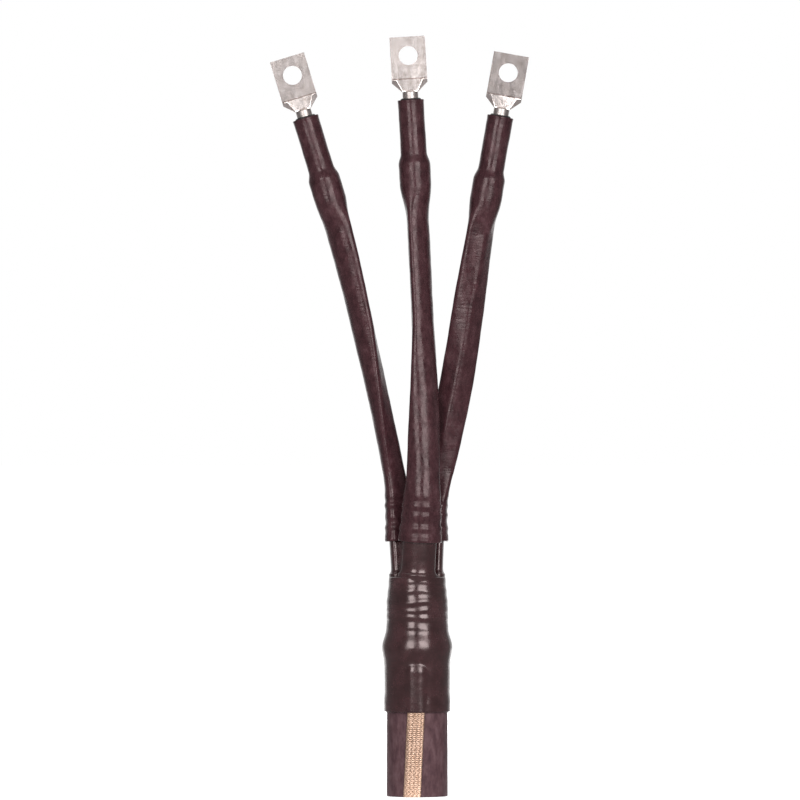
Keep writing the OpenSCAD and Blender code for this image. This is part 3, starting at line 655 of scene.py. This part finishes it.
# ---------------------------------------------------------------------------
# A seal of mastic squeezed out in each tube's mouth round the lug's neck.
# It stands in an uneven bead where the shrinking tube pushed it up.
# ---------------------------------------------------------------------------
BEAD = ((7.12, -2.8), (9.35, -2.8), (9.38, -0.3), (9.3, 0.5), (8.9, 1.1), (8.2, 1.45),
        (7.5, 1.55), (7.12, 1.3))
a = np.arange(0, 360, 5.0)
for number, (leg, tail) in enumerate(TAILS.items()):
    place, f, e, n = stand(tail, [tail["mouth"]])
    wave = np.sin(np.radians(2 * a) + number) + 0.6 * np.sin(np.radians(5 * a) + 2 * number)
    out = np.cos(np.radians(a))[:, None] * e + np.sin(np.radians(a))[:, None] * n
    rings = []
    for r, z in BEAD:
        lift = (0.16 * wave - 0.12) * (z > 0.4)
        rings.append(place + (z + lift)[:, None] * f + r * out)
    verts, faces = loft(np.array(rings), closed=True)
    seal = mesh_piece(leg + "_seal_bead", verts, faces)
    seal.data.materials.append(mastic)
    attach(seal, "root")
    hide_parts(leg + "_mouth_seal")

# ---------------------------------------------------------------------------
# The studio: a pale floor and a white surround, soft lamps in front, behind and
# below, a dim room that only shows in shiny surfaces, and a long level lens.
# The floor has a hole under the cable and is clear from below, to show its end.
# ---------------------------------------------------------------------------
HOLE_R, FLOOR_R, FLOOR_Z, FLOOR_SIDES = 21.0, 40000.0, -0.5, 48
verts, faces = loft(lathe([(FLOOR_R, FLOOR_Z), (HOLE_R, FLOOR_Z)], FLOOR_SIDES))
floor = mesh_piece("floor", verts, faces)
pale, tree, shader = new_material("pale floor", (0.9, 0.9, 0.9), 0.0, 0.9, 0.0)


def seen_directly(tree):
    """One for rays that show the surround to the eye, straight or in a shine."""
    ray = tree.nodes.new("ShaderNodeLightPath")
    total = ray.outputs["Is Camera Ray"]
    for way in ("Is Glossy Ray", "Is Transmission Ray"):
        join = tree.nodes.new("ShaderNodeMath")
        join.operation = "MAXIMUM"
        tree.links.new(total, join.inputs[0])
        tree.links.new(ray.outputs[way], join.inputs[1])
        total = join.outputs["Value"]
    return total


shader.inputs["Emission Color"].default_value = (1, 1, 1, 1)
tree.links.new(spread(tree, seen_directly(tree), 0.0, 0.96, 0.0, 1.0),
               shader.inputs["Emission Strength"])
side = tree.nodes.new("ShaderNodeNewGeometry")
clear = tree.nodes.new("ShaderNodeBsdfTransparent")
either = tree.nodes.new("ShaderNodeMixShader")
tree.links.new(side.outputs["Backfacing"], either.inputs["Fac"])
tree.links.new(shader.outputs["BSDF"], either.inputs[1])
tree.links.new(clear.outputs["BSDF"], either.inputs[2])
tree.links.new(either.outputs["Shader"], tree.nodes["Material Output"].inputs["Surface"])
floor.data.materials.append(pale)

ROOM_IN, ROOM_R, ROOM_FOOT, ROOM_TOP, ROOM_OPEN, ROOM_POSTS = 0.06, 3.4, 0.001, 5.0, 40.0, 41
turn = np.radians(np.linspace(ROOM_OPEN - 270, 90 - ROOM_OPEN, ROOM_POSTS))
outline = ((ROOM_IN, ROOM_FOOT), (ROOM_R, ROOM_FOOT), (ROOM_R, ROOM_TOP))
corners = [(r * math.cos(k), r * math.sin(k), z) for r, z in outline for k in turn]
walls = bpy.data.meshes.new("dim_room")
walls.from_pydata(corners, [], sheet(len(outline), ROOM_POSTS, 0))
room = bpy.data.objects.new("dim_room", walls)
bpy.context.scene.collection.objects.link(room)
grey, tree, shader = new_material("dim room", (0.2, 0.2, 0.2), 0.0, 0.9, 0.0)
shader.inputs["Emission Color"].default_value = (0.235, 0.222, 0.225, 1)
shader.inputs["Emission Strength"].default_value = 1.0
room.data.materials.append(grey)
room.visible_camera = False
room.visible_diffuse = False
room.visible_shadow = False

world = bpy.data.worlds.new("surround")
bpy.context.scene.world = world
world.use_nodes = True
sky = world.node_tree.nodes["Background"]
sky.inputs["Color"].default_value = (1, 1, 1, 1)
level = spread(world.node_tree, seen_directly(world.node_tree), 0.1, 1.0, 0.0, 1.0)
world.node_tree.links.new(level, sky.inputs["Strength"])


def lamp(name, at, aim, wide, tall, watts):
    light = bpy.data.lights.new(name, "AREA")
    light.shape = "RECTANGLE"
    light.size, light.size_y = wide, tall
    light.energy = watts
    holder = bpy.data.objects.new(name, light)
    holder.location = at
    holder.rotation_euler = (Vector(aim) - Vector(at)).to_track_quat("-Z", "Y").to_euler()
    bpy.context.scene.collection.objects.link(holder)
    return holder


lamp("left lamp", (-0.95, -2.22, 0.9), (0, 0, 0.36), 1.0, 1.3, 27)
lamp("right lamp", (0.92, -2.22, 0.9), (0, 0, 0.36), 1.35, 1.3, 39)
behind = lamp("back lamp", (0.2, 2.4, 0.9), (0, 0, 0.36), 1.2, 1.3, 46)
behind.visible_camera = False
behind.visible_glossy = False
lamp("low lamp", (0.0, -0.5, -1.2), (0, 0, 0), 0.6, 0.6, 9)

scene = bpy.context.scene
scene.view_settings.view_transform = "Standard"
lens = bpy.data.cameras.new("camera")
lens.lens = 400
lens.sensor_width = 36
lens.clip_end = 100
camera = bpy.data.objects.new("camera", lens)
camera.location = (-0.0155, -8.0, 0.3564)
camera.rotation_euler = (math.radians(90), 0, 0)
scene.collection.objects.link(camera)
scene.camera = camera
